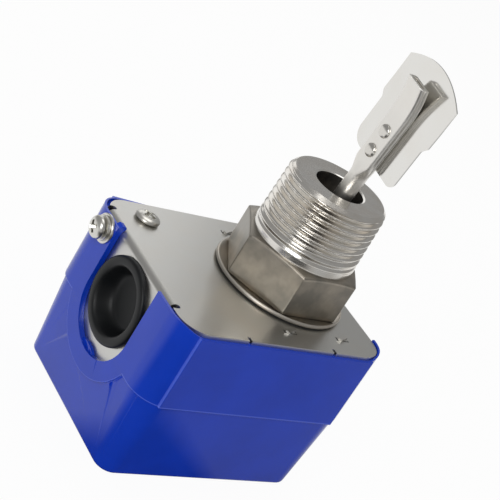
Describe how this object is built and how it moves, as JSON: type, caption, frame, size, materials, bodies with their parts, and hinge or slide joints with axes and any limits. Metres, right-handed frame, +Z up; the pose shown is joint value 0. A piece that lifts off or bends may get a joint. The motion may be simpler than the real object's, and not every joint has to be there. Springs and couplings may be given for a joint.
{
  "type": "flow switch",
  "caption": "Pipe-mounted flow switch: moulded case with a cable entry, threaded hexagonal fitting, and a thin leaf on a swinging arm that works an enclosed switch.",
  "frame": {"origin": "on the fitting's axis, in the closed flat face of the cover", "axes": "+Z up the fitting to the paddle, -X towards the cable entry, +Y across the case"},
  "size_m": [0.0836, 0.0644, 0.1385],
  "materials": {
    "cover": "glossy moulded plastic",
    "chassis": "rolled stainless sheet",
    "plug": "moulded rubber",
    "zinc": "zinc plated steel",
    "fitting": "turned stainless steel",
    "gasket": "flat gasket",
    "bronze": "formed bronze bellows",
    "brass_part": "turned brass",
    "stainless": "polished stainless steel",
    "bracket": "plated steel sheet",
    "switch_body": "moulded thermoset",
    "switch_button": "moulded button",
    "spring": "spring wire"
  },
  "bodies": {
    "case": {"cover": "cover", "chassis": "chassis", "cable_plug": "plug", "cover_screw": "zinc", "cover_lock_washer": "zinc", "cover_flat_washer": "zinc", "ground_screw": "zinc", "ground_nut": "zinc", "hex_fitting": "fitting", "flange_washer": "fitting", "flange_gasket": "gasket", "fitting_lock_ring": "zinc", "bellows_seal": "bronze", "pivot_pin": "stainless", "pivot_clip": "zinc", "mechanism_bracket": "bracket", "microswitch_body": "switch_body", "switch_screws": "zinc", "switch_terminals": "brass_part", "terminal_screws": "brass_part", "range_spring": "spring", "spring_seat_nut": "brass_part"},
    "paddle": {"paddle_arm": "stainless", "paddle_leaf": "stainless", "paddle_rivets": "stainless", "rocker": "bracket", "seal_collar": "brass_part"},
    "switch_button": {"microswitch_plunger": "switch_button"},
    "range_screw": {"range_screw": "zinc", "range_screw_clip": "zinc"}
  },
  "joints": [
    {"name": "paddle_swing", "type": "hinge", "parent": "case", "child": "paddle", "pos_m": [0, 0, 0.0468], "axis": [0, -1, 0], "range_deg": [0, 4.5], "stiffness_Nm_per_rad": 0.4, "springref_deg": -2.86, "deforming": ["range_spring", "bellows_seal"]},
    {"name": "button_press", "type": "slide", "parent": "case", "child": "switch_button", "axis": [0, 0, -1], "range_m": [0, 0.0012], "stiffness_N_per_m": 60},
    {"name": "range_turn", "type": "hinge", "parent": "case", "child": "range_screw", "pos_m": [-0.014, 0.014, 0.014], "axis": [0, 0, 1], "range_deg": [0, 1440]}
  ],
  "couplings": [
    {"joint": "button_press", "follows": "paddle_swing", "m_per_rad": 0.014}
  ]
}
